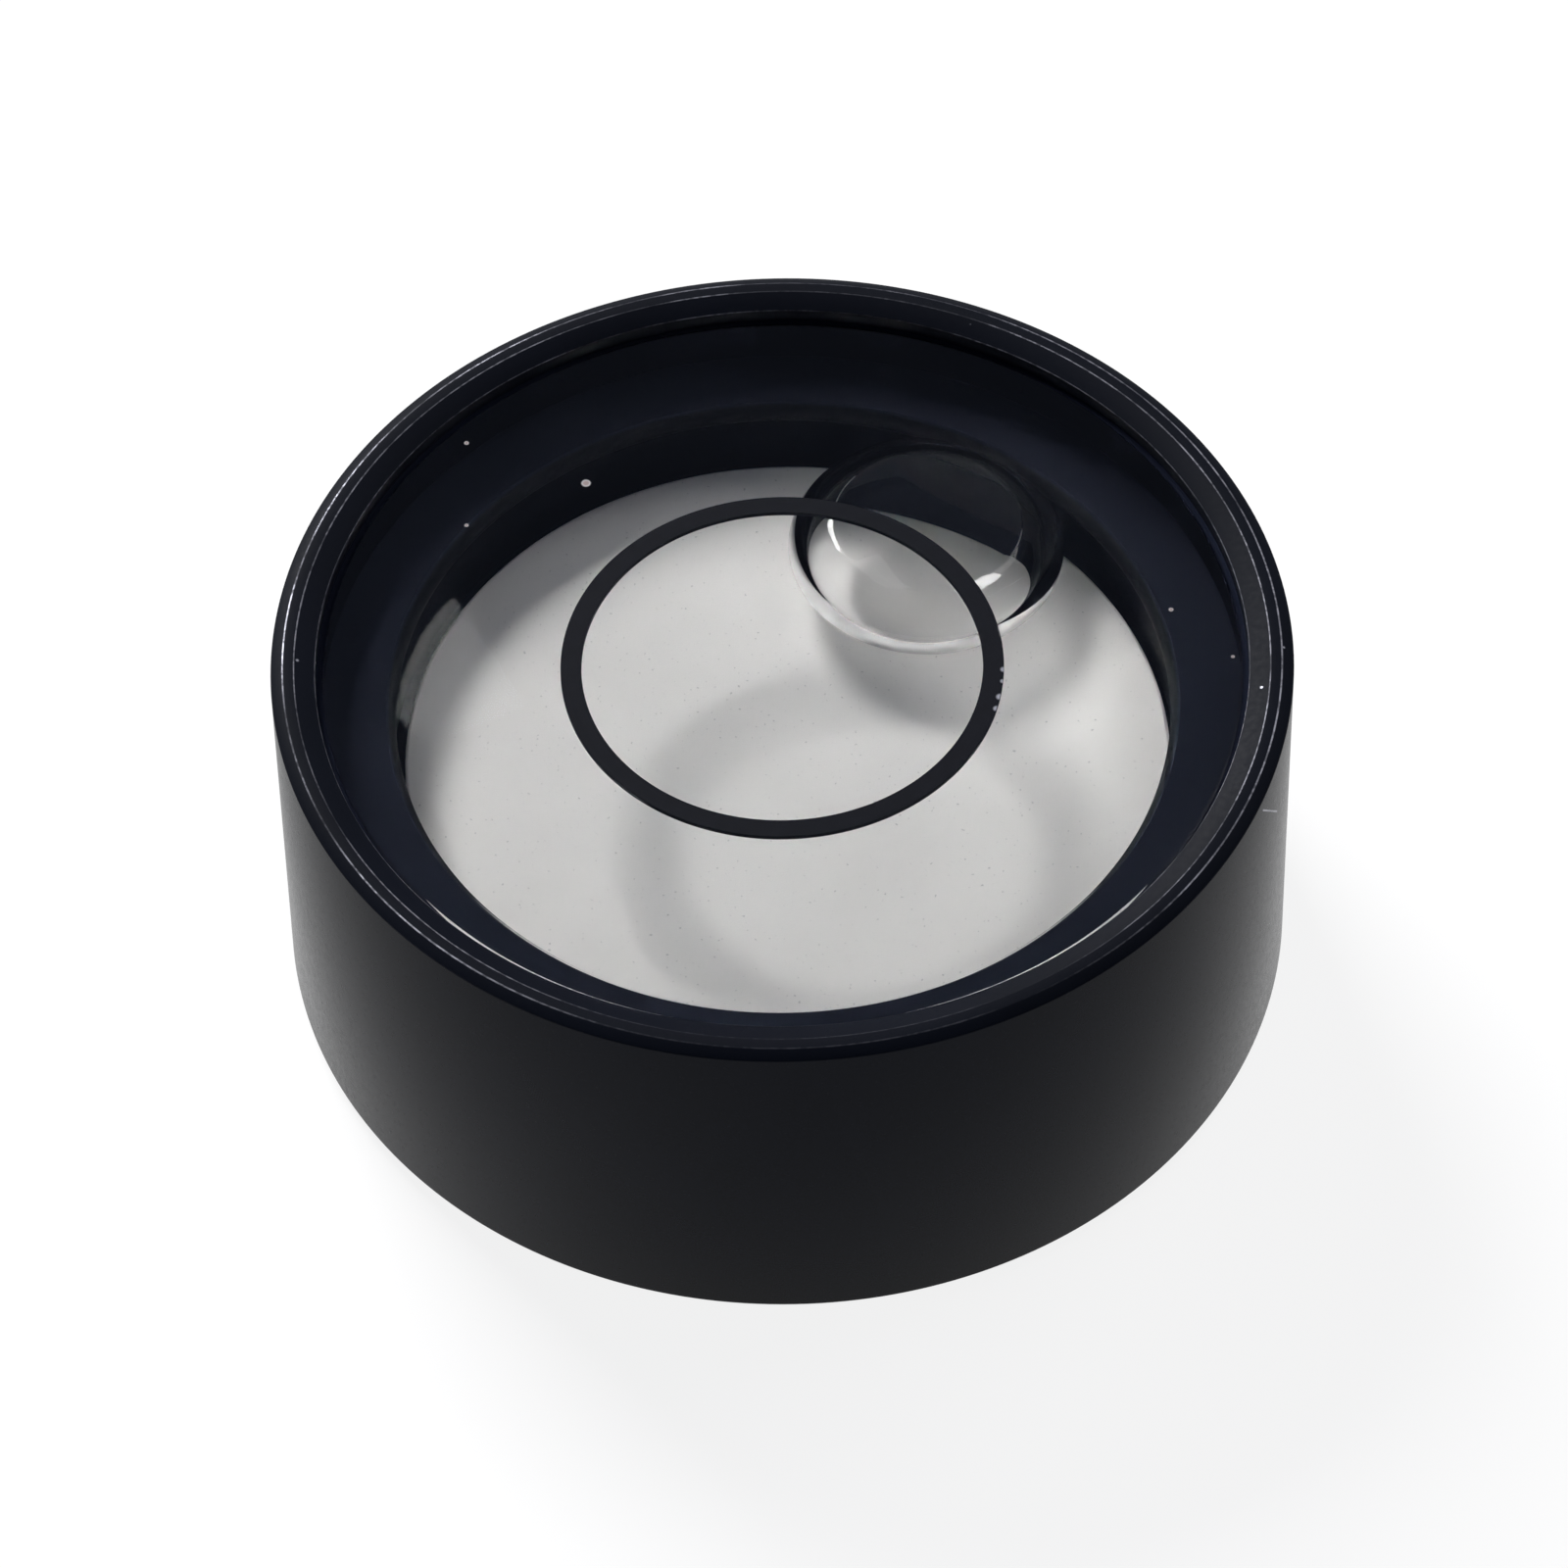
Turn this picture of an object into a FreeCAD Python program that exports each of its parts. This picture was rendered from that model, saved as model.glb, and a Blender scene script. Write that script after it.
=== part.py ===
import FreeCAD, Part
import math
import os

# Bullseye level: a turned case with a round lens over a well of spirit, all sizes in millimetres.
# The origin is the centre of the foot, and +Z is the axis of the case, towards the lens.

# Case: outside form and rim
case_diameter = 17.0
case_height = 7.0
foot_bevel = 0.30
rim_bevel_width = 0.20
rim_bevel_drop = 0.09
rim_land_width = 0.19
throat_bevel_width = 0.35
throat_bevel_drop = 0.11

# Case: inside form, from the rim down
shoulder_width = 1.16
well_depth = 1.84

# Lens and its target ring
lens_recess = 0.31
lens_edge_thickness = 1.58
lens_side_gap = 0.06
lens_edge_bevel = 0.08
dish_curvature_radius = 100.0
dish_margin = 0.05
ring_mean_diameter = 7.03
ring_line_width = 0.34
ring_groove_depth = 0.12

# Gasket under the lens, squeezed so that its inner edge bulges
gasket_thickness = 0.70
gasket_side_gap = 0.06
gasket_setback = 0.035
gasket_bulge = 0.16

# Sealing bead round the lens
bead_level = 0.04
bead_hollow = 0.012

# Backing disc on the floor of the well
disc_thickness = 0.30
disc_side_gap = 0.15
disc_edge_bevel = 0.05
disc_shift = 0.06

# Air bubble: a hollow in the spirit, pressed against the lens and the wall
bubble_direction = 56.5
bubble_contact_radius = 1.50
bubble_overhang = 0.85
bubble_crown = 0.92
bubble_floor_gap = 0.10
bubble_wall_film = 0.05
bubble_wall_squash = 0.485

# Places that follow from the sizes above
case_radius = case_diameter / 2
rim_bevel_foot = case_height - rim_bevel_drop
land_outer_radius = case_radius - rim_bevel_width
land_inner_radius = land_outer_radius - rim_land_width
bore_radius = land_inner_radius - throat_bevel_width
bore_top = case_height - throat_bevel_drop
lens_radius = bore_radius - lens_side_gap
lens_top = case_height - lens_recess
seat_level = lens_top - lens_edge_thickness
shoulder_level = seat_level - gasket_thickness
floor_level = shoulder_level - well_depth
well_radius = bore_radius - shoulder_width
gasket_inner_radius = well_radius + gasket_setback
gasket_outer_radius = bore_radius - gasket_side_gap
gasket_throat_radius = gasket_inner_radius - gasket_bulge
gasket_middle = seat_level - gasket_thickness / 2
dish_radius = gasket_inner_radius - dish_margin
dish_sag = dish_curvature_radius - math.sqrt(dish_curvature_radius ** 2 - dish_radius ** 2)
dish_apex = seat_level + dish_sag
dish_centre = dish_apex - dish_curvature_radius
ring_inner_radius = (ring_mean_diameter - ring_line_width) / 2
ring_outer_radius = (ring_mean_diameter + ring_line_width) / 2
ring_floor = lens_top - ring_groove_depth
disc_radius = well_radius - disc_side_gap
disc_top = floor_level + disc_thickness

AXIS = FreeCAD.Vector(0, 0, 1)
ORIGIN = FreeCAD.Vector(0, 0, 0)


def at(radius, height):
    """A point of a turned profile, in the XZ plane."""
    return FreeCAD.Vector(radius, 0, height)


def lines(*points):
    """Straight profile edges through (radius, height) points."""
    corners = [at(*point) for point in points]
    return [Part.LineSegment(a, b).toShape() for a, b in zip(corners, corners[1:])]


def arc(start, middle, end):
    """One profile edge along the circle through three (radius, height) points."""
    return [Part.Arc(at(*start), at(*middle), at(*end)).toShape()]


def turned(edges):
    """Turn a closed profile once round the axis of the case."""
    return Part.Face(Part.Wire(edges)).revolve(ORIGIN, AXIS, 360)


def dish_height(radius):
    """Height of the lens's hollow underside at a distance from the axis."""
    return dish_centre + math.sqrt(dish_curvature_radius ** 2 - radius ** 2)


def make_dish_ball():
    """The large ball that the underside of the lens is hollowed to, its poles and seam turned away."""
    ball = Part.makeSphere(dish_curvature_radius)
    ball.rotate(ORIGIN, FreeCAD.Vector(0, 1, 0), 90)
    ball.translate(at(0, dish_centre))
    return ball


def gasket_inner_arc():
    """The bulged inner edge of the gasket, from the lens down to the shoulder."""
    top = (gasket_inner_radius, seat_level)
    foot = (gasket_inner_radius, shoulder_level)
    return arc(top, (gasket_throat_radius, gasket_middle), foot)


def make_case():
    """Turned cup: bevelled rim, bore for the lens, shoulder for the gasket, and the well."""
    return turned(lines(
        (0, 0),
        (case_radius - foot_bevel, 0),
        (case_radius, foot_bevel),
        (case_radius, rim_bevel_foot),
        (land_outer_radius, case_height),
        (land_inner_radius, case_height),
        (bore_radius, bore_top),
        (bore_radius, shoulder_level),
        (well_radius, shoulder_level),
        (well_radius, floor_level),
        (0, floor_level),
        (0, 0),
    ))


def make_lens():
    """Round lens: flat top with the ring's groove, bevelled edge, hollow underside, flat seat."""
    blank = turned(lines(
        (0, seat_level),
        (lens_radius, seat_level),
        (lens_radius, lens_top - lens_edge_bevel),
        (lens_radius - lens_edge_bevel, lens_top),
        (ring_outer_radius, lens_top),
        (ring_outer_radius, ring_floor),
        (ring_inner_radius, ring_floor),
        (ring_inner_radius, lens_top),
        (0, lens_top),
        (0, seat_level),
    ))
    return blank.cut(make_dish_ball())


def make_target_ring():
    """Paint that fills the groove in the lens, level with its top."""
    return turned(lines(
        (ring_inner_radius, ring_floor),
        (ring_outer_radius, ring_floor),
        (ring_outer_radius, lens_top),
        (ring_inner_radius, lens_top),
        (ring_inner_radius, ring_floor),
    ))


def make_gasket():
    """Flat ring between the shoulder and the lens."""
    outside = lines(
        (gasket_inner_radius, shoulder_level),
        (gasket_outer_radius, shoulder_level),
        (gasket_outer_radius, seat_level),
        (gasket_inner_radius, seat_level),
    )
    return turned(gasket_inner_arc() + outside)


def make_bead():
    """Adhesive in the gap between lens and bore, with a slightly hollow top."""
    bead_top = lens_top - bead_level
    on_bevel = lens_radius - lens_edge_bevel + bead_level
    middle = (on_bevel + bore_radius) / 2
    wall = lines(
        (on_bevel, bead_top),
        (lens_radius, lens_top - lens_edge_bevel),
        (lens_radius, seat_level),
        (bore_radius, seat_level),
        (bore_radius, bead_top),
    )
    hollow = arc((bore_radius, bead_top), (middle, bead_top - bead_hollow), (on_bevel, bead_top))
    return turned(wall + hollow)


def make_disc():
    """White disc on the floor of the well, moved sideways in its clearance."""
    disc = turned(lines(
        (0, floor_level),
        (disc_radius, floor_level),
        (disc_radius, disc_top - disc_edge_bevel),
        (disc_radius - disc_edge_bevel, disc_top),
        (0, disc_top),
        (0, floor_level),
    ))
    disc.translate(FreeCAD.Vector(disc_shift, 0, 0))
    return disc


def make_bubble():
    """The space that the air takes up: flat against the lens, widest at its crown, round below.

    It is turned about its own axis, which is square to the dish where the bubble lies. On the
    wall's side it is then cut off along the wall, less a film of spirit.
    """
    widest = bubble_contact_radius + bubble_overhang
    wall = gasket_throat_radius - bubble_wall_film
    offset = wall + bubble_wall_squash - widest
    height = dish_height(offset) - disc_top - bubble_floor_gap
    belly = height - bubble_crown

    # The meniscus runs from the edge of contact out to the widest place
    meniscus_radius = (bubble_overhang ** 2 + bubble_crown ** 2) / (2 * bubble_overhang)
    meniscus_centre = widest - meniscus_radius
    contact_angle = math.atan2(bubble_crown, bubble_contact_radius - meniscus_centre)

    # The belly is an oval: a side arc with an ellipse's end radius, and a flatter arc across the bottom
    side_radius = belly ** 2 / widest
    side_centre = widest - side_radius
    bottom_radius = (widest ** 2 - 2 * widest * side_radius + belly ** 2) / (2 * (belly - side_radius))
    bottom_centre = bottom_radius - height
    join_angle = math.atan2(-bubble_crown - bottom_centre, side_centre)

    def on_circle(radius, centre_radius, centre_height, angle):
        return (centre_radius + radius * math.cos(angle), centre_height + radius * math.sin(angle))

    def on_meniscus(angle):
        return on_circle(meniscus_radius, meniscus_centre, -bubble_crown, angle)

    def on_side(angle):
        return on_circle(side_radius, side_centre, -bubble_crown, angle)

    def on_bottom(angle):
        return on_circle(bottom_radius, 0, bottom_centre, angle)

    above_dish = lens_edge_thickness / 4
    contact = on_meniscus(contact_angle)
    crown = (widest, -bubble_crown)
    join = on_side(join_angle)
    lowest = (0, -height)
    outline = lines(lowest, (0, above_dish), (contact[0], above_dish), contact)
    meniscus = arc(contact, on_meniscus(contact_angle / 2), crown)
    side = arc(crown, on_side(join_angle / 2), join)
    bottom = arc(join, on_bottom((join_angle - math.pi / 2) / 2), lowest)
    bubble = turned(outline + meniscus + side + bottom)

    lean = math.degrees(math.asin(offset / dish_curvature_radius))
    bubble.rotate(ORIGIN, FreeCAD.Vector(0, 1, 0), lean)
    bubble.translate(FreeCAD.Vector(offset, 0, dish_height(offset)))
    bubble = bubble.common(Part.makeCylinder(wall, case_height))
    bubble.rotate(ORIGIN, AXIS, bubble_direction)
    return bubble


def make_spirit():
    """The liquid: all that lens, disc and bubble leave free in the well and inside the gasket."""
    inside_lens = seat_level + lens_edge_thickness / 2
    well = lines(
        (gasket_inner_radius, shoulder_level),
        (well_radius, shoulder_level),
        (well_radius, floor_level),
        (0, floor_level),
        (0, inside_lens),
        (gasket_inner_radius, inside_lens),
        (gasket_inner_radius, seat_level),
    )
    column = turned(gasket_inner_arc() + well)
    return column.cut(make_lens()).cut(make_disc()).cut(make_bubble())


pieces = {
    "case": make_case,
    "lens": make_lens,
    "target_ring": make_target_ring,
    "lens_gasket": make_gasket,
    "sealing_bead": make_bead,
    "backing_disc": make_disc,
    "spirit": make_spirit,
}

os.makedirs("parts", exist_ok=True)
for node, make in pieces.items():
    shape = make()
    shape.exportStep(f"parts/{node}.step")
    print(f"{node}: {len(shape.Solids)} solid, {shape.Volume:.3f} mm3")
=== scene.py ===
import math

import bpy
from mathutils import Matrix, Vector


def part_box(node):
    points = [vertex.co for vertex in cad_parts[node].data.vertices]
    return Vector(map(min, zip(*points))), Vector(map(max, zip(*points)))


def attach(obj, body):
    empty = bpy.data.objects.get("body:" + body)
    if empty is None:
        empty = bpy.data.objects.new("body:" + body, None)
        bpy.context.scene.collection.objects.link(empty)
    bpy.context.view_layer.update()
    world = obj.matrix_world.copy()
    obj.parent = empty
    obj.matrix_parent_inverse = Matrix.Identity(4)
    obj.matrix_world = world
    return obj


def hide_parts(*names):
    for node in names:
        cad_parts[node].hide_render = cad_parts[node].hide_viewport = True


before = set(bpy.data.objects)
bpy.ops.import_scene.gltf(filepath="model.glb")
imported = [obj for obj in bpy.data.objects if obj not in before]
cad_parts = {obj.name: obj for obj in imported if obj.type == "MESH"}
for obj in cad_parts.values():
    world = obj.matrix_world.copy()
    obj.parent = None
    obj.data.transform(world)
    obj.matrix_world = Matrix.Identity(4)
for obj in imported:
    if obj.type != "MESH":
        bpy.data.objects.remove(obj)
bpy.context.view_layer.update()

# Case: a cup turned from aluminium bar, with a bore for the lens, a shoulder under its gasket and a well.
# It is black anodised to a satin finish, and handling has rubbed its rim edges down to the bare metal, whose
# brightness is partly a painted edge highlight.
MM = 0.001
TURNED_SIDES = 256

case_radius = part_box("case")[1].x / MM
case_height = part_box("case")[1].z / MM
bore_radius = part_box("sealing_bead")[1].x / MM
shoulder_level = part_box("lens_gasket")[0].z / MM
floor_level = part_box("backing_disc")[0].z / MM
foot_bevel = 0.30
rim_bevel_width = 0.20
rim_bevel_drop = 0.09
rim_land_width = 0.19
throat_bevel_drop = 0.11
shoulder_width = 1.16
land_outer_radius = case_radius - rim_bevel_width
land_inner_radius = land_outer_radius - rim_land_width
well_radius = bore_radius - shoulder_width
CASE_EDGE_ROUND = 0.022
CASE_EDGE_ANGLE = math.radians(12)
EDGE_SMOOTH_ANGLE = math.radians(28)
MERGE_DISTANCE = 0.0002 * MM


def turned(name, outline, sides=TURNED_SIDES):
    """Draws a circle on, ring by ring, through (radius, height) points in mm, as a turned profile."""
    bpy.ops.object.select_all(action="DESELECT")
    from_axis = outline[0][0] == 0
    rings = outline[1:] if from_axis else outline
    radius, height = rings[0]
    bpy.ops.mesh.primitive_circle_add(
        vertices=sides,
        radius=radius * MM,
        fill_type="TRIFAN" if from_axis else "NOTHING",
        location=(0, 0, height * MM),
    )
    piece = bpy.context.object
    piece.name = name
    piece.data.name = name
    bpy.ops.object.transform_apply(location=True)
    bpy.ops.object.mode_set(mode="EDIT")
    bpy.ops.mesh.select_all(action="DESELECT")
    bpy.ops.object.mode_set(mode="OBJECT")
    for vertex in piece.data.vertices:
        vertex.select = math.hypot(vertex.co.x, vertex.co.y) > radius * MM / 2
    for edge in piece.data.edges:
        edge.select = all(piece.data.vertices[i].select for i in edge.vertices)
    bpy.ops.object.mode_set(mode="EDIT")
    for (old_radius, old_height), (new_radius, new_height) in zip(rings, rings[1:]):
        rise = (new_height - old_height) * MM
        bpy.ops.mesh.extrude_edges_move(TRANSFORM_OT_translate={"value": (0, 0, rise)})
        if new_radius == 0:
            bpy.ops.mesh.merge(type="CENTER")
            continue
        growth = new_radius / old_radius
        bpy.ops.transform.resize(value=(growth, growth, 1), center_override=(0, 0, new_height * MM))
    bpy.ops.mesh.select_all(action="SELECT")
    bpy.ops.mesh.remove_doubles(threshold=MERGE_DISTANCE)
    bpy.ops.mesh.normals_make_consistent(inside=False)
    bpy.ops.object.mode_set(mode="OBJECT")
    return piece


def rounded_edges(piece, width, angle):
    """Breaks the turned edges sharper than the angle by a small round, width in mm."""
    bpy.context.view_layer.objects.active = piece
    bpy.ops.object.modifier_add(type="BEVEL")
    bevel = piece.modifiers[-1]
    bevel.width = width * MM
    bevel.segments = 3
    bevel.limit_method = "ANGLE"
    bevel.angle_limit = angle
    bevel.use_clamp_overlap = True
    bpy.ops.object.modifier_apply(modifier=bevel.name)


def smooth(piece):
    """Smooth shading, broken at the edges that stay sharp."""
    bpy.ops.object.select_all(action="DESELECT")
    piece.select_set(True)
    bpy.context.view_layer.objects.active = piece
    bpy.ops.object.shade_smooth_by_angle(angle=EDGE_SMOOTH_ANGLE)


def linear(colour):
    """Turns an sRGB hex colour to the linear values that the shaders take."""
    channels = [int(colour[i:i + 2], 16) / 255 for i in (1, 3, 5)]
    return tuple(c / 12.92 if c <= 0.04045 else ((c + 0.055) / 1.055) ** 2.4 for c in channels) + (1.0,)


def add(tree, kind, settings=None, **inputs):
    """Adds one node. Inputs are values or sockets, by name, or by number as in_0."""
    made = tree.nodes.new(kind)
    for name, value in (settings or {}).items():
        setattr(made, name, value)
    for name, value in inputs.items():
        numbered = name.startswith("in_")
        socket = made.inputs[int(name[3:]) if numbered else name.replace("_", " ")]
        if isinstance(value, bpy.types.NodeSocket):
            tree.links.new(value, socket)
        else:
            socket.default_value = value
    return made


def new_material(name):
    """An empty node material, its tree and its output."""
    material = bpy.data.materials.new(name)
    material.use_nodes = True
    material.node_tree.nodes.clear()
    output = material.node_tree.nodes.new("ShaderNodeOutputMaterial")
    return material, material.node_tree, output


def give(piece, *materials):
    """Puts the materials into the piece's slots, in order."""
    piece.data.materials.clear()
    for material in materials:
        piece.data.materials.append(material)


case = turned("case_shell", [
    (0, 0),
    (case_radius - foot_bevel, 0),
    (case_radius, foot_bevel),
    (case_radius, case_height - rim_bevel_drop),
    (land_outer_radius, case_height),
    (land_inner_radius, case_height),
    (bore_radius, case_height - throat_bevel_drop),
    (bore_radius, shoulder_level),
    (well_radius, shoulder_level),
    (well_radius, floor_level),
    (0, floor_level),
])
rounded_edges(case, CASE_EDGE_ROUND, CASE_EDGE_ANGLE)
smooth(case)

# Satin black anodising: a matt etch dyed black, so it mirrors little from above and much at a glancing
# angle. Fine feed marks of the lathe run round it, and worn edges, nicks and a scratch show bare metal.
# The bare metal of the rim edges is partly real wear and partly a painted edge highlight, dimmed at the
# front.
# The etch's own grain is about 0.01 mm, and is drawn ten times coarser, so that it shows.
ANODISED_DARK = linear("#0a0c12")
ANODISED_LIGHT = linear("#0e1119")
BARE_ALUMINIUM = linear("#b9b9c4")
FEED_MARK = 0.06 * MM
FEED_MARK_SHARE = 0.25
ETCH_GRAIN = 0.11 * MM
ETCH_DEPTH = 0.002 * MM
DYE_PATCH = 2.2 * MM
# Each edge's radius, height, worn width and strongest wear, which is partly painted highlight, in mm
WORN_EDGES_AND_HIGHLIGHTS = (
    (land_outer_radius, case_height, 0.020, 0.45),
    (land_inner_radius, case_height, 0.016, 0.32),
    (bore_radius, case_height - throat_bevel_drop, 0.018, 0.40),
    (case_radius, case_height - rim_bevel_drop, 0.012, 0.06),
)
WORN_CORE = 0.35
WORN_ROUGHNESS = 0.32
# Nicks, and the front part of the rim where the painted edge highlight is dimmed (painted shade), as x, y, z
# and radius in mm
RIM_NICKS = (
    (-8.058, 0.058, 6.96, 0.045),
    (7.924, -0.938, 6.95, 0.040),
    (3.338, 7.272, 7.00, 0.040),
    (8.330, -0.106, 6.98, 0.030),
)
FRONT_HIGHLIGHT_DIMMED = (
    (-0.5, -8.2, 7.0, 5.5),
    (2.0, -7.9, 7.0, 4.5),
)
NICK_STRENGTH = 0.45
FRONT_DIMMING_STRENGTH = 0.9
WALL_SCRATCH = ((7.84, -3.28, 6.62), (8.14, -2.45, 5.56))
SCRATCH_WIDTH = 0.024
SCRATCH_STRENGTH = 0.5
MARK_CORE = 0.4


def spots(tree, place, marks):
    """A mask that is 1 in small round spots, given as x, y, z and radius in mm."""
    mask = None
    for x, y, z, radius in marks:
        spot_place = (x * MM, y * MM, z * MM)
        away = add(tree, "ShaderNodeVectorMath", {"operation": "DISTANCE"}, in_0=place, in_1=spot_place)
        near = add(
            tree, "ShaderNodeMapRange", {"interpolation_type": "SMOOTHSTEP"},
            in_0=away.outputs["Value"], in_1=radius * MM, in_2=radius * MM * MARK_CORE, in_3=0.0, in_4=1.0,
        ).outputs[0]
        mask = near if mask is None else add(
            tree, "ShaderNodeMath", {"operation": "MAXIMUM"}, in_0=mask, in_1=near
        ).outputs[0]
    return mask


def scratch(tree, place, start, end):
    """A mask along the straight scratch between two points in mm."""
    run = Vector(end) - Vector(start)
    way = add(
        tree, "ShaderNodeVectorMath", {"operation": "SUBTRACT"}, in_0=place, in_1=[c * MM for c in start]
    ).outputs[0]
    along = add(
        tree, "ShaderNodeVectorMath", {"operation": "DOT_PRODUCT"},
        in_0=way, in_1=[c / (run.length ** 2 * MM) for c in run],
    ).outputs["Value"]
    held = add(tree, "ShaderNodeClamp", Value=along, Min=0.0, Max=1.0).outputs[0]
    nearest = add(
        tree, "ShaderNodeVectorMath", {"operation": "SCALE"}, in_0=[c * MM for c in run], Scale=held
    ).outputs[0]
    away = add(
        tree, "ShaderNodeVectorMath", {"operation": "DISTANCE"}, in_0=way, in_1=nearest
    ).outputs["Value"]
    edge = SCRATCH_WIDTH * MM
    return add(
        tree, "ShaderNodeMapRange", {"interpolation_type": "SMOOTHSTEP"},
        in_0=away, in_1=edge, in_2=edge * MARK_CORE, in_3=0.0, in_4=SCRATCH_STRENGTH,
    ).outputs[0]


def anodised(name, gloss, smoothest, roughest):
    """Black anodising over turned aluminium, with its gloss and the range of its roughness."""
    material, tree, output = new_material(name)
    place = add(tree, "ShaderNodeTexCoord").outputs["Object"]
    split = add(tree, "ShaderNodeSeparateXYZ", Vector=place)
    flat_place = add(tree, "ShaderNodeCombineXYZ", X=split.outputs["X"], Y=split.outputs["Y"]).outputs[0]
    from_axis = add(tree, "ShaderNodeVectorMath", {"operation": "LENGTH"}, in_0=flat_place).outputs["Value"]
    profile_place = add(tree, "ShaderNodeCombineXYZ", X=from_axis, Y=split.outputs["Z"]).outputs[0]
    patches = add(tree, "ShaderNodeTexNoise", Vector=place, Scale=1 / DYE_PATCH, Detail=3.0).outputs[0]
    speckle = add(tree, "ShaderNodeTexNoise", Vector=place, Scale=1 / ETCH_GRAIN, Detail=2.0).outputs[0]
    wear_and_highlight = None
    for edge_radius, edge_height, width, amount in WORN_EDGES_AND_HIGHLIGHTS:
        edge_place = (edge_radius * MM, edge_height * MM, 0)
        away = add(
            tree, "ShaderNodeVectorMath", {"operation": "DISTANCE"}, in_0=profile_place, in_1=edge_place
        ).outputs["Value"]
        near = add(
            tree, "ShaderNodeMapRange", {"interpolation_type": "SMOOTHSTEP"},
            in_0=away, in_1=width * MM, in_2=width * MM * WORN_CORE, in_3=0.0, in_4=amount,
        ).outputs[0]
        wear_and_highlight = near if wear_and_highlight is None else add(
            tree, "ShaderNodeMath", {"operation": "MAXIMUM"}, in_0=wear_and_highlight, in_1=near
        ).outputs[0]
    rubbed = add(
        tree, "ShaderNodeMapRange", in_0=patches, in_1=0.40, in_2=0.62, in_3=0.15, in_4=1.0
    ).outputs[0]
    broken = add(
        tree, "ShaderNodeMapRange", in_0=speckle, in_1=0.36, in_2=0.58, in_3=0.35, in_4=1.0
    ).outputs[0]
    wear_and_highlight = add(tree, "ShaderNodeMath", {"operation": "MULTIPLY"}, in_0=wear_and_highlight, in_1=rubbed).outputs[0]
    wear_and_highlight = add(tree, "ShaderNodeMath", {"operation": "MULTIPLY"}, in_0=wear_and_highlight, in_1=broken).outputs[0]
    # The front of the rim is dimmed: painted shade where the edge highlight fades.
    front_dimmed = spots(tree, place, FRONT_HIGHLIGHT_DIMMED)
    front_kept = add(
        tree, "ShaderNodeMath", {"operation": "MULTIPLY_ADD"},
        in_0=front_dimmed, in_1=-FRONT_DIMMING_STRENGTH, in_2=1.0,
    ).outputs[0]
    wear_and_highlight = add(tree, "ShaderNodeMath", {"operation": "MULTIPLY"}, in_0=wear_and_highlight, in_1=front_kept).outputs[0]
    nicks = spots(tree, place, RIM_NICKS)
    nicks = add(tree, "ShaderNodeMath", {"operation": "MULTIPLY"}, in_0=nicks, in_1=NICK_STRENGTH).outputs[0]
    wear_and_highlight = add(tree, "ShaderNodeMath", {"operation": "MAXIMUM"}, in_0=wear_and_highlight, in_1=nicks).outputs[0]
    line = scratch(tree, place, *WALL_SCRATCH)
    wear_and_highlight = add(tree, "ShaderNodeMath", {"operation": "MAXIMUM"}, in_0=wear_and_highlight, in_1=line).outputs[0]
    dyed = add(
        tree, "ShaderNodeMix", {"data_type": "RGBA"}, in_0=patches, in_6=ANODISED_DARK, in_7=ANODISED_LIGHT
    ).outputs[2]
    colour = add(
        tree, "ShaderNodeMix", {"data_type": "RGBA"}, in_0=wear_and_highlight, in_6=dyed, in_7=BARE_ALUMINIUM
    ).outputs[2]
    etched = add(
        tree, "ShaderNodeMapRange", in_0=speckle, in_1=0.3, in_2=0.7, in_3=smoothest, in_4=roughest
    ).outputs[0]
    rough = add(tree, "ShaderNodeMix", in_0=wear_and_highlight, in_2=etched, in_3=WORN_ROUGHNESS).outputs[0]
    across = add(
        tree, "ShaderNodeMath", {"operation": "ADD"}, in_0=from_axis, in_1=split.outputs["Z"]
    ).outputs[0]
    turns = add(
        tree, "ShaderNodeMath", {"operation": "MULTIPLY"}, in_0=across, in_1=2 * math.pi / FEED_MARK
    ).outputs[0]
    ridges = add(tree, "ShaderNodeMath", {"operation": "SINE"}, in_0=turns).outputs[0]
    grain = add(
        tree, "ShaderNodeMath", {"operation": "MULTIPLY_ADD"}, in_0=ridges, in_1=FEED_MARK_SHARE, in_2=speckle
    ).outputs[0]
    marks = add(tree, "ShaderNodeBump", in_0=0.1, in_1=ETCH_DEPTH, Height=grain).outputs[0]
    surface = add(
        tree, "ShaderNodeBsdfPrincipled",
        Base_Color=colour, Metallic=wear_and_highlight, Roughness=rough, Specular_IOR_Level=gloss, Normal=marks,
    )
    tree.links.new(surface.outputs[0], output.inputs["Surface"])
    return material


# The outside wall is satin, the foot, the well and faces that look up are matt, and the bore mirrors most.
outside = anodised("black_anodised_aluminium_satin", gloss=0.055, smoothest=0.22, roughest=0.28)
rim = anodised("black_anodised_aluminium_matt", gloss=0.02, smoothest=0.42, roughest=0.50)
bored = anodised("black_anodised_aluminium_bored", gloss=0.18, smoothest=0.34, roughest=0.40)
give(case, outside, rim, bored)
LOOKS_UP = 0.3
WALL_MARGIN = 0.03
for face in case.data.polygons:
    face_radius = math.hypot(face.center.x, face.center.y) / MM
    face_level = face.center.z / MM
    if face.normal.z > LOOKS_UP or face_radius < well_radius + WALL_MARGIN:
        face.material_index = 1
    elif face_level > shoulder_level and face_radius < bore_radius + WALL_MARGIN:
        face.material_index = 2
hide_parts("case")
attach(case, "root")

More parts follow.
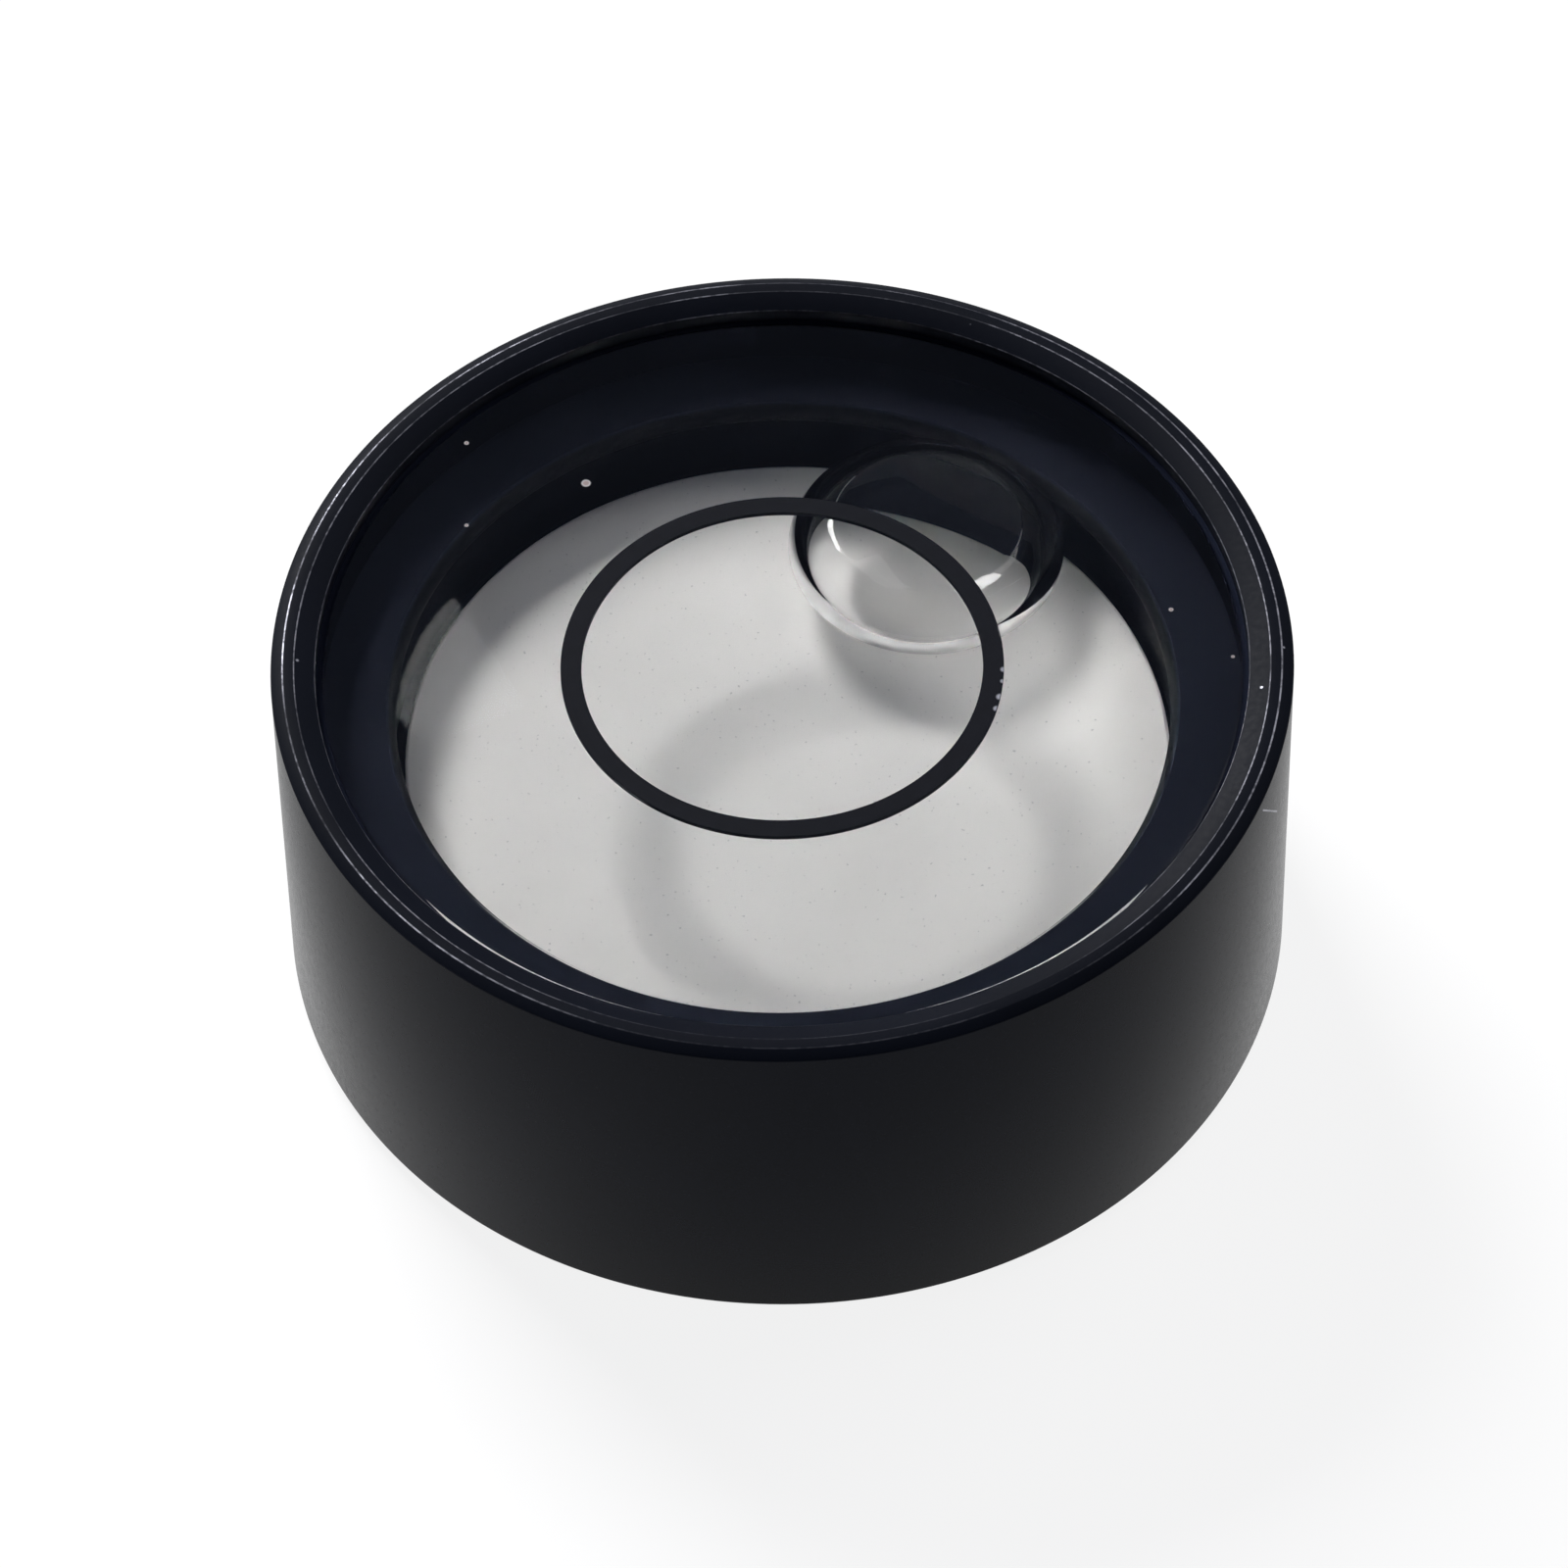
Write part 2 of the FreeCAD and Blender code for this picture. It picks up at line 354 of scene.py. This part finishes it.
# Backing disc: a round of white plastic, 0.3 mm thick, that lies on the floor of the well under the
# spirit, a little off centre in its clearance. It is punched from sheet, which rounds its edge a little.
disc_low, disc_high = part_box("backing_disc")
disc_radius = (disc_high.x - disc_low.x) / 2 / MM
disc_shift = (disc_high.x + disc_low.x) / 2
disc_top = disc_high.z / MM
disc_edge_bevel = 0.05
DISC_EDGE_ROUND = 0.015
DISC_EDGE_ANGLE = math.radians(30)

disc = turned("white_disc", [
    (0, floor_level),
    (disc_radius, floor_level),
    (disc_radius, disc_top - disc_edge_bevel),
    (disc_radius - disc_edge_bevel, disc_top),
    (0, disc_top),
])
rounded_edges(disc, DISC_EDGE_ROUND, DISC_EDGE_ANGLE)
disc.location.x = disc_shift
bpy.ops.object.select_all(action="DESELECT")
disc.select_set(True)
bpy.ops.object.transform_apply(location=True)
smooth(disc)

# Matt white plastic: it scatters all light, with a slight warm mottle, a fine pebble and grey dust specks.
WHITE_DULL = linear("#f0eeea")
WHITE_CLEAN = linear("#f8f6f2")
DUST_GREY = linear("#77767c")
WHITE_MOTTLE = 1.6 * MM
PEBBLE = 0.07 * MM
PEBBLE_DEPTH = 0.002 * MM
white_plastic, tree, output = new_material("white_plastic_matt")
place = add(tree, "ShaderNodeTexCoord").outputs["Object"]
mottle = add(
    tree, "ShaderNodeTexNoise", Vector=place, Scale=1 / WHITE_MOTTLE, Detail=4.0, Roughness=0.6
).outputs[0]
fine = add(tree, "ShaderNodeTexNoise", Vector=place, Scale=1 / PEBBLE, Detail=1.0).outputs[0]
white = add(
    tree, "ShaderNodeMix", {"data_type": "RGBA"}, in_0=mottle, in_6=WHITE_DULL, in_7=WHITE_CLEAN
).outputs[2]
speck = add(tree, "ShaderNodeMapRange", in_0=fine, in_1=0.70, in_2=0.76, in_3=0.0, in_4=0.35).outputs[0]
colour = add(tree, "ShaderNodeMix", {"data_type": "RGBA"}, in_0=speck, in_6=white, in_7=DUST_GREY).outputs[2]
pebbled = add(tree, "ShaderNodeBump", in_0=0.15, in_1=PEBBLE_DEPTH, Height=fine).outputs[0]
surface = add(
    tree, "ShaderNodeBsdfPrincipled",
    Base_Color=colour, Roughness=0.55, IOR=1.46, Specular_IOR_Level=0.05, Normal=pebbled,
)
tree.links.new(surface.outputs[0], output.inputs["Surface"])
give(disc, white_plastic)
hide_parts("backing_disc")
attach(disc, "root")

# Gasket: a flat ring cut from black nitrile rubber, squeezed between the shoulder and the lens, so that
# its inner edge bulges into the spirit. Its top reaches a hair into the lens, as no air is left there,
# and the spirit's faces stand off from all that they wet by the wetting gap.
gasket_outer_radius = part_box("lens_gasket")[1].x / MM
seat_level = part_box("lens_gasket")[1].z / MM
gasket_inner_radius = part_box("spirit")[1].x / MM
gasket_bulge = 0.16
WETTING_GAP = 0.003
PRESSED_CONTACT = 0.004


def arc(start, middle, end, steps):
    """Points on the circle through three (radius, height) points, from the first to the last."""
    a, b, c = (complex(*p) for p in (start, middle, end))
    w = (c - a) / (b - a)
    centre = a - (a - b) * (w - abs(w) ** 2) / (2j * w.imag)
    first = math.atan2((a - centre).imag, (a - centre).real)
    half = math.atan2(((b - centre) / (a - centre)).imag, ((b - centre) / (a - centre)).real)
    rest = math.atan2(((c - centre) / (b - centre)).imag, ((c - centre) / (b - centre)).real)
    radius = abs(a - centre)
    points = []
    for step in range(steps + 1):
        angle = first + (half + rest) * step / steps
        points.append((centre.real + radius * math.cos(angle), centre.imag + radius * math.sin(angle)))
    return points


def gasket_edge(radius, top, foot):
    """The bulged inner edge, from the lens down to the shoulder."""
    return arc((radius, top), (radius - gasket_bulge, (top + foot) / 2), (radius, foot), steps=14)


gasket = turned("rubber_gasket", (
    gasket_edge(gasket_inner_radius, seat_level - WETTING_GAP, shoulder_level)
    + [
        (gasket_outer_radius, shoulder_level),
        (gasket_outer_radius, seat_level + PRESSED_CONTACT),
        (gasket_inner_radius, seat_level + PRESSED_CONTACT),
        (gasket_inner_radius, seat_level - WETTING_GAP),
    ]
))
smooth(gasket)

# Moulded nitrile rubber: soft black with a faint bloom, which side light turns grey. Where the lens
# presses on it, it has no bloom, and it is painted a lifted bluish black: painted haze and reflection.
RUBBER_DARK = linear("#1d1e20")
RUBBER_BLOOM = linear("#2a2b2c")
# The gasket's top gets this lifted bluish black: painted haze with a bluish reflection, lighter than the
# rubber's own black.
RUBBER_TOP_PAINTED_HAZE = linear("#1c202b")
BLOOM_SIZE = 0.5 * MM
BLOOM_DEPTH = 0.003 * MM
painted_haze_from = seat_level - 0.06
painted_haze_to = seat_level - 0.02
rubber, tree, output = new_material("nitrile_rubber_black")
place = add(tree, "ShaderNodeTexCoord").outputs["Object"]
bloom = add(tree, "ShaderNodeTexNoise", Vector=place, Scale=1 / BLOOM_SIZE, Detail=3.0).outputs[0]
skin_colour = add(
    tree, "ShaderNodeMix", {"data_type": "RGBA"}, in_0=bloom, in_6=RUBBER_DARK, in_7=RUBBER_BLOOM
).outputs[2]
level = add(tree, "ShaderNodeSeparateXYZ", Vector=place).outputs["Z"]
# Mask of the painted haze and reflection: the top of the gasket under the lens, found by height.
painted_haze_top = add(
    tree, "ShaderNodeMapRange",
    in_0=level, in_1=painted_haze_from * MM, in_2=painted_haze_to * MM, in_3=0.0, in_4=1.0,
).outputs[0]
colour = add(
    tree, "ShaderNodeMix", {"data_type": "RGBA"}, in_0=painted_haze_top, in_6=skin_colour, in_7=RUBBER_TOP_PAINTED_HAZE
).outputs[2]
skin = add(tree, "ShaderNodeBump", in_0=0.2, in_1=BLOOM_DEPTH, Height=bloom).outputs[0]
surface = add(
    tree, "ShaderNodeBsdfPrincipled",
    Base_Color=colour, Roughness=0.6, IOR=1.52, Specular_IOR_Level=0.035, Normal=skin,
)
tree.links.new(surface.outputs[0], output.inputs["Surface"])
give(gasket, rubber)
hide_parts("lens_gasket")
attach(gasket, "root")

# Bubble: the air left in the spirit. It lies flat against the lens, widest at its crown and round below,
# and a film of spirit keeps it off the wall. It is a shape to cut with, and no piece of its own. Its flat
# cuts a dry patch into the lens, just deep enough for the patch to be a face of its own.
DISH_CURVATURE_RADIUS = 100.0
dish_margin = 0.05
dish_radius = gasket_inner_radius - dish_margin
dish_centre = seat_level - math.sqrt(DISH_CURVATURE_RADIUS ** 2 - dish_radius ** 2)
dish_apex = dish_centre + DISH_CURVATURE_RADIUS
BUBBLE_DIRECTION = math.radians(56.5)
bubble_contact_radius = 1.50
bubble_overhang = 0.85
bubble_crown = 0.92
bubble_floor_gap = 0.10
bubble_wall_film = 0.05
bubble_wall_squash = 0.485
bubble_wall = gasket_inner_radius - gasket_bulge - bubble_wall_film
bubble_widest = bubble_contact_radius + bubble_overhang
bubble_offset = bubble_wall + bubble_wall_squash - bubble_widest
BUBBLE_SIDES = 192
DRY_PATCH_DEPTH = 0.002


def dish_height(radius):
    """Height of the lens's hollow underside at a distance from the axis."""
    return dish_centre + math.sqrt(DISH_CURVATURE_RADIUS ** 2 - radius ** 2)


def below_patch(radius):
    """Drop of the dish below the middle of the dry patch, less the depth that marks the patch off."""
    return DRY_PATCH_DEPTH - (DISH_CURVATURE_RADIUS - math.sqrt(DISH_CURVATURE_RADIUS ** 2 - radius ** 2))


bubble_height = dish_height(bubble_offset) - disc_top - bubble_floor_gap
bubble_belly = bubble_height - bubble_crown
meniscus_radius = (bubble_overhang ** 2 + bubble_crown ** 2) / (2 * bubble_overhang)
meniscus_centre = bubble_widest - meniscus_radius
side_radius = bubble_belly ** 2 / bubble_widest
side_centre = bubble_widest - side_radius
bottom_radius = (bubble_widest ** 2 - 2 * bubble_widest * side_radius + bubble_belly ** 2) / (
    2 * (bubble_belly - side_radius)
)
bottom_centre = bottom_radius - bubble_height
contact_turn = math.atan2(bubble_crown, bubble_contact_radius - meniscus_centre)
side_turn = math.atan2(-bubble_crown - bottom_centre, side_centre)


def round_part(centre, radius, start, end, steps):
    """Points along a circle about a (radius, height) centre, from one angle to another."""
    angles = [start + (end - start) * step / steps for step in range(steps + 1)]
    return [(centre[0] + radius * math.cos(a), centre[1] + radius * math.sin(a)) for a in angles]


patch_rings = [bubble_contact_radius * share for share in (0.2, 0.4, 0.6, 0.8, 1.0)]
bubble = turned("bubble_cutter", (
    [(0, below_patch(0))]
    + [(radius, below_patch(radius)) for radius in patch_rings]
    + round_part((meniscus_centre, -bubble_crown), meniscus_radius, contact_turn, 0, 22)[1:]
    + round_part((side_centre, -bubble_crown), side_radius, 0, side_turn, 16)[1:]
    + round_part((0, bottom_centre), bottom_radius, side_turn, -math.pi / 2, 26)[1:-1]
    + [(0, -bubble_height)]
), sides=BUBBLE_SIDES)
bubble.rotation_euler.y = math.asin(bubble_offset / DISH_CURVATURE_RADIUS)
bubble.location = (bubble_offset * MM, 0, dish_height(bubble_offset) * MM)
bpy.ops.object.select_all(action="DESELECT")
bubble.select_set(True)
bpy.ops.object.transform_apply(location=True, rotation=True)
for vertex in bubble.data.vertices:
    reach = math.hypot(vertex.co.x, vertex.co.y) / MM
    if reach > bubble_wall:
        vertex.co.x *= bubble_wall / reach
        vertex.co.y *= bubble_wall / reach
bubble.rotation_euler.z = BUBBLE_DIRECTION
bpy.ops.object.transform_apply(rotation=True)
smooth(bubble)

# Spirit: clear alcohol that fills the well, wets the gasket, the disc and the lens, and holds the bubble.
# Its own faces are see-through films, and light bends where it meets the lens and the bubble.
SPIRIT_IOR = 1.36
SPIRIT_ROUGHEST = 0.01
HAZE_SIZE = 1.5 * MM
LENS_DUST_COLOUR = linear("#8a7d7c")
dish_rings = (dish_radius, 6.0, 5.0, 4.0, 3.0, 2.0, 1.0, 0.3)
disc_room_depth = 0.1


def cut_from(piece, cutter):
    """Takes the cutter's shape out of the piece, and gives the cut faces the cutter's materials."""
    bpy.ops.object.select_all(action="DESELECT")
    bpy.context.view_layer.objects.active = piece
    bpy.ops.object.modifier_add(type="BOOLEAN")
    cut = piece.modifiers[-1]
    cut.operation = "DIFFERENCE"
    cut.solver = "EXACT"
    cut.material_mode = "TRANSFER"
    cut.object = cutter
    bpy.ops.object.modifier_apply(modifier=cut.name)


def clear_finish(name, ior, roughest, dust=None):
    """A clear see-through finish whose polish varies a little from place to place, with grains of dust."""
    material, tree, output = new_material(name)
    place = add(tree, "ShaderNodeTexCoord").outputs["Object"]
    haze = add(tree, "ShaderNodeTexNoise", Vector=place, Scale=1 / HAZE_SIZE, Detail=2.0).outputs[0]
    polish = add(tree, "ShaderNodeMapRange", in_0=haze, in_1=0.35, in_2=0.75, in_3=0.0, in_4=roughest)
    surface = add(
        tree, "ShaderNodeBsdfPrincipled",
        Base_Color=(1, 1, 1, 1), Roughness=polish.outputs[0], IOR=ior, Transmission_Weight=1.0,
    )
    if dust:
        grain = spots(tree, place, dust)
        tint = add(
            tree, "ShaderNodeMix", {"data_type": "RGBA"}, in_0=grain, in_6=(1, 1, 1, 1), in_7=LENS_DUST_COLOUR
        ).outputs[2]
        clear = add(tree, "ShaderNodeMath", {"operation": "SUBTRACT"}, in_0=1.0, in_1=grain).outputs[0]
        tree.links.new(tint, surface.inputs["Base Color"])
        tree.links.new(clear, surface.inputs["Transmission Weight"])
    tree.links.new(surface.outputs[0], output.inputs["Surface"])
    return material


spirit_face = clear_finish("clear_spirit", SPIRIT_IOR, SPIRIT_ROUGHEST)
wetting, tree, output = new_material("clear_spirit_wetting_film")
surface = add(tree, "ShaderNodeBsdfTransparent", Color=(1, 1, 1, 1))
tree.links.new(surface.outputs[0], output.inputs["Surface"])

give(bubble, spirit_face)
spirit = turned("spirit_fill", (
    [
        (0, floor_level + WETTING_GAP),
        (well_radius - WETTING_GAP, floor_level + WETTING_GAP),
        (well_radius - WETTING_GAP, shoulder_level + WETTING_GAP),
    ]
    + gasket_edge(
        gasket_inner_radius - WETTING_GAP, seat_level - WETTING_GAP, shoulder_level + WETTING_GAP
    )[::-1]
    + [(radius, dish_height(radius) - WETTING_GAP) for radius in dish_rings]
    + [(0, dish_apex - WETTING_GAP)]
))
give(spirit, wetting)
cut_from(spirit, bubble)
bpy.ops.object.select_all(action="DESELECT")
disc.select_set(True)
bpy.context.view_layer.objects.active = disc
bpy.ops.object.duplicate()
disc_room = bpy.context.object
room_growth = (disc_radius + WETTING_GAP) / disc_radius
above_floor = floor_level * MM + 1e-6
for vertex in disc_room.data.vertices:
    vertex.co.x = disc_shift + (vertex.co.x - disc_shift) * room_growth
    vertex.co.y *= room_growth
    vertex.co.z += (WETTING_GAP if vertex.co.z > above_floor else -disc_room_depth) * MM
give(disc_room, wetting)
cut_from(spirit, disc_room)
bpy.data.objects.remove(disc_room)
smooth(spirit)
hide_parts("spirit")
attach(spirit, "root")

# Lens: a round turned from clear acrylic and polished, flat on top with a groove for the ring, hollow
# underneath so that the bubble seeks its middle, and bonded into the bore. A few grains of dust lie on it.
lens_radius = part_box("lens")[1].x / MM
lens_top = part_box("lens")[1].z / MM
lens_edge_bevel = 0.08
ring_outer_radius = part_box("target_ring")[1].x / MM
ring_line_width = 0.34
ring_inner_radius = ring_outer_radius - ring_line_width
ring_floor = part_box("target_ring")[0].z / MM

lens = turned("acrylic_lens", (
    [
        (0, lens_top),
        (ring_inner_radius, lens_top),
        (ring_inner_radius, ring_floor),
        (ring_outer_radius, ring_floor),
        (ring_outer_radius, lens_top),
        (lens_radius - lens_edge_bevel, lens_top),
        (lens_radius, lens_top - lens_edge_bevel),
        (lens_radius, seat_level),
    ]
    + [(radius, dish_height(radius)) for radius in dish_rings]
    + [(0, dish_apex)]
))

# Cast acrylic: clear, with a faint haze of polish. The faces that the spirit wets bend light only by the
# small step between acrylic and spirit, so they are a finish of their own.
ACRYLIC_IOR = 1.49
ACRYLIC_DRY_ROUGHEST = 0.02
ACRYLIC_WET_ROUGHEST = 0.01
LENS_DUST = (
    (-5.283, 5.054, lens_top, 0.050),
    (-5.271, 3.203, lens_top, 0.045),
    (-3.254, 4.092, lens_top, 0.095),
    (6.514, 1.019, lens_top, 0.050),
    (7.496, -0.035, lens_top, 0.040),
    (7.541, -1.477, lens_top, 0.040),
)
acrylic = clear_finish("clear_acrylic_polished", ACRYLIC_IOR, ACRYLIC_DRY_ROUGHEST, dust=LENS_DUST)
acrylic_wet = clear_finish("clear_acrylic_wet_with_spirit", ACRYLIC_IOR / SPIRIT_IOR, ACRYLIC_WET_ROUGHEST)
give(lens, acrylic, acrylic_wet)
wet_below = dish_apex + 0.05
for face in lens.data.polygons:
    middle = face.center
    wet = math.hypot(middle.x, middle.y) < dish_radius * MM and middle.z < wet_below * MM
    face.material_index = 1 if wet else 0
give(bubble, acrylic)
cut_from(lens, bubble)
bpy.data.objects.remove(bubble)
smooth(lens)
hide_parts("lens")
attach(lens, "root")

# Target ring: black paint wiped into the groove of the lens and level with it. It keys into the acrylic
# by a hair, so that no air shows between them, and its outer edge has four small chips on the right.
PAINT_KEY = 0.004
edge_support = 0.04
side_support = 0.02
ring = turned("painted_ring", [
    (ring_inner_radius - PAINT_KEY, ring_floor - PAINT_KEY),
    (ring_outer_radius + PAINT_KEY, ring_floor - PAINT_KEY),
    (ring_outer_radius + PAINT_KEY, lens_top - side_support),
    (ring_outer_radius + PAINT_KEY, lens_top),
    (ring_outer_radius - edge_support, lens_top),
    (ring_inner_radius + edge_support, lens_top),
    (ring_inner_radius - PAINT_KEY, lens_top),
    (ring_inner_radius - PAINT_KEY, lens_top - side_support),
    (ring_inner_radius - PAINT_KEY, ring_floor - PAINT_KEY),
])
smooth(ring)

# Flat black paint, wiped in by hand: dull, with fine streaks. Where it has chipped, it shows grey.
PAINT_DARK = linear("#080a10")
PAINT_LIGHT = linear("#0e1017")
CHIP_GREY = linear("#8a8a92")
WIPE_STREAK = 0.25 * MM
WIPE_DEPTH = 0.004 * MM
RING_CHIPS = (
    (3.683, -0.209, lens_top, 0.075),
    (3.660, -0.464, lens_top, 0.060),
    (3.601, -0.801, lens_top, 0.085),
    (3.536, -1.053, lens_top, 0.075),
)
paint, tree, output = new_material("black_paint_flat")
place = add(tree, "ShaderNodeTexCoord").outputs["Object"]
streaks = add(tree, "ShaderNodeTexNoise", Vector=place, Scale=1 / WIPE_STREAK, Detail=3.0).outputs[0]
painted = add(
    tree, "ShaderNodeMix", {"data_type": "RGBA"}, in_0=streaks, in_6=PAINT_DARK, in_7=PAINT_LIGHT
).outputs[2]
chipped = spots(tree, place, RING_CHIPS)
colour = add(
    tree, "ShaderNodeMix", {"data_type": "RGBA"}, in_0=chipped, in_6=painted, in_7=CHIP_GREY
).outputs[2]
filled = add(tree, "ShaderNodeBump", in_0=0.3, in_1=WIPE_DEPTH, Height=streaks).outputs[0]
surface = add(
    tree, "ShaderNodeBsdfPrincipled",
    Base_Color=colour, Roughness=0.5, Specular_IOR_Level=0.035, Normal=filled,
)
tree.links.new(surface.outputs[0], output.inputs["Surface"])
give(ring, paint)
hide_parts("target_ring")
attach(ring, "root")

# Sealing bead: adhesive run into the gap between lens and bore, which holds the lens and keeps the spirit
# in. Its top sinks a little as it cures, and it wets the lens, so that no air shows between them.
bead_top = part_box("sealing_bead")[1].z / MM
bead_hollow = 0.012
bead_inner_radius = lens_radius - PAINT_KEY
on_bevel = lens_radius - lens_edge_bevel + (lens_top - bead_top) - PAINT_KEY
bead = turned("adhesive_bead", (
    [
        (bead_inner_radius, seat_level + WETTING_GAP),
        (bore_radius - WETTING_GAP, seat_level + WETTING_GAP),
    ]
    + arc(
        (bore_radius - WETTING_GAP, bead_top),
        ((bore_radius + on_bevel) / 2, bead_top - bead_hollow),
        (on_bevel, bead_top),
        steps=6,
    )
    + [
        (bead_inner_radius, lens_top - lens_edge_bevel),
        (bead_inner_radius, seat_level + WETTING_GAP),
    ]
))
smooth(bead)

# Cured adhesive: a thin clear layer over the anodised bore, so it shows the black behind it.
ADHESIVE_DARK = linear("#12151f")
ADHESIVE_LIGHT = linear("#181b26")
FLOW_SIZE = 0.8 * MM
adhesive, tree, output = new_material("cured_adhesive_over_black")
place = add(tree, "ShaderNodeTexCoord").outputs["Object"]
flow = add(tree, "ShaderNodeTexNoise", Vector=place, Scale=1 / FLOW_SIZE, Detail=2.0).outputs[0]
colour = add(
    tree, "ShaderNodeMix", {"data_type": "RGBA"}, in_0=flow, in_6=ADHESIVE_DARK, in_7=ADHESIVE_LIGHT
).outputs[2]
surface = add(
    tree, "ShaderNodeBsdfPrincipled",
    Base_Color=colour, Roughness=0.4, IOR=1.5, Specular_IOR_Level=0.0,
)
tree.links.new(surface.outputs[0], output.inputs["Surface"])
give(bead, adhesive)
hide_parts("sealing_bead")
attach(bead, "root")

# Studio: a plain white table, a soft box at the back left and a weaker one at the back right. Seen
# directly, mirrored or through the lens, the table is mostly plain white, and keeps a soft shadow.
TABLE_SIZE = 4.0
TABLE_MOTTLE = 0.025
TABLE_PLAIN_SHARE = 0.86
bpy.ops.object.select_all(action="DESELECT")
bpy.ops.mesh.primitive_plane_add(size=TABLE_SIZE, location=(0, 0, 0))
floor = bpy.context.object
floor.name = "table_top"
table_top, tree, output = new_material("white_table_top")
place = add(tree, "ShaderNodeTexCoord").outputs["Object"]
mottle = add(tree, "ShaderNodeTexNoise", Vector=place, Scale=1 / TABLE_MOTTLE, Detail=2.0).outputs[0]
white = add(
    tree, "ShaderNodeMix", {"data_type": "RGBA"}, in_0=mottle, in_6=linear("#f4f4f4"), in_7=linear("#f8f8f8")
).outputs[2]
scattered = add(tree, "ShaderNodeBsdfDiffuse", Color=white).outputs[0]
shown = add(tree, "ShaderNodeEmission", Color=(1, 1, 1, 1), Strength=1.0).outputs[0]
rays = add(tree, "ShaderNodeLightPath")
seen = add(
    tree, "ShaderNodeMath", {"operation": "MAXIMUM"},
    in_0=rays.outputs["Is Camera Ray"], in_1=rays.outputs["Is Glossy Ray"],
).outputs[0]
seen = add(
    tree, "ShaderNodeMath", {"operation": "MAXIMUM"}, in_0=seen, in_1=rays.outputs["Is Transmission Ray"]
).outputs[0]
share = add(tree, "ShaderNodeMath", {"operation": "MULTIPLY"}, in_0=seen, in_1=TABLE_PLAIN_SHARE).outputs[0]
lit = add(tree, "ShaderNodeMixShader", in_0=share, in_1=scattered, in_2=shown).outputs[0]
behind = add(tree, "ShaderNodeNewGeometry").outputs["Backfacing"]
see_through = add(tree, "ShaderNodeBsdfTransparent").outputs[0]
table_shader = add(tree, "ShaderNodeMixShader", in_0=behind, in_1=lit, in_2=see_through)
tree.links.new(table_shader.outputs[0], output.inputs["Surface"])
give(floor, table_top)


def soft_lamp(name, azimuth, elevation, distance, width, height, power):
    """An upright soft box that faces the level, angles in degrees and sizes in metres."""
    a, e = math.radians(azimuth), math.radians(elevation)
    spot = Vector((math.cos(a) * math.cos(e), math.sin(a) * math.cos(e), math.sin(e))) * distance
    lamp = bpy.data.lights.new(name, "AREA")
    lamp.shape = "RECTANGLE"
    lamp.size = width
    lamp.size_y = height
    lamp.energy = power
    holder = bpy.data.objects.new(name, lamp)
    bpy.context.scene.collection.objects.link(holder)
    holder.location = spot
    holder.rotation_mode = "QUATERNION"
    holder.rotation_quaternion = (-spot).to_track_quat("-Z", "Y")


LAMP_DISTANCE = 0.8
soft_lamp("soft_lamp_left", 119, 34.5, LAMP_DISTANCE, width=0.30, height=0.46, power=12.6)
soft_lamp("soft_lamp_right", 42, 50, LAMP_DISTANCE, width=0.40, height=0.40, power=1.6)

# The light on the disc comes through lens and spirit. Unblurred and unclamped, it keeps its sharp shadows.
bpy.context.scene.cycles.blur_glossy = 0.0
bpy.context.scene.cycles.sample_clamp_indirect = 0.0

# Room: pale near the table's far edge and grey-blue overhead.
ROOM_LOW = linear("#e4e6ea")
ROOM_HIGH = linear("#4a5060")
world = bpy.data.worlds.new("studio_walls")
bpy.context.scene.world = world
world.use_nodes = True
tree = world.node_tree
tree.nodes.clear()
output = tree.nodes.new("ShaderNodeOutputWorld")
way = add(tree, "ShaderNodeTexCoord").outputs["Generated"]
height = add(tree, "ShaderNodeSeparateXYZ", Vector=way).outputs["Z"]
ceiling = add(
    tree, "ShaderNodeMapRange", {"interpolation_type": "SMOOTHSTEP"}, in_0=height, in_1=0.02, in_2=0.32
).outputs[0]
shade = add(
    tree, "ShaderNodeMix", {"data_type": "RGBA"}, in_0=ceiling, in_6=ROOM_LOW, in_7=ROOM_HIGH
).outputs[2]
sky = add(tree, "ShaderNodeBackground", Color=shade, Strength=1.0)
tree.links.new(sky.outputs[0], output.inputs["Surface"])

# Camera: a long lens about 150 mm away, in front and looking down at 50.7 degrees, with the level a touch
# turned in the frame.
CAMERA_ELEVATION = math.radians(50.70)
CAMERA_ROLL = math.radians(1.18)
CAMERA_PLACE = Vector((-0.01, -96.70, 121.69)) * MM
CAMERA_LENS = 207.4
SENSOR_WIDTH = 36.0
view_way = Vector((0, math.cos(CAMERA_ELEVATION), -math.sin(CAMERA_ELEVATION)))
right = Vector((1, 0, 0))
up = right.cross(view_way)
camera_x = right * math.cos(CAMERA_ROLL) - up * math.sin(CAMERA_ROLL)
camera_y = up * math.cos(CAMERA_ROLL) + right * math.sin(CAMERA_ROLL)
turn = Matrix((camera_x, camera_y, -view_way)).transposed()
camera = bpy.data.objects.new("camera", bpy.data.cameras.new("camera"))
bpy.context.scene.collection.objects.link(camera)
camera.matrix_world = Matrix.Translation(CAMERA_PLACE) @ turn.to_4x4()
camera.data.sensor_width = SENSOR_WIDTH
camera.data.lens = CAMERA_LENS
camera.data.clip_start = 0.01
camera.data.clip_end = 10.0
bpy.context.scene.camera = camera
bpy.context.scene.view_settings.view_transform = "Standard"
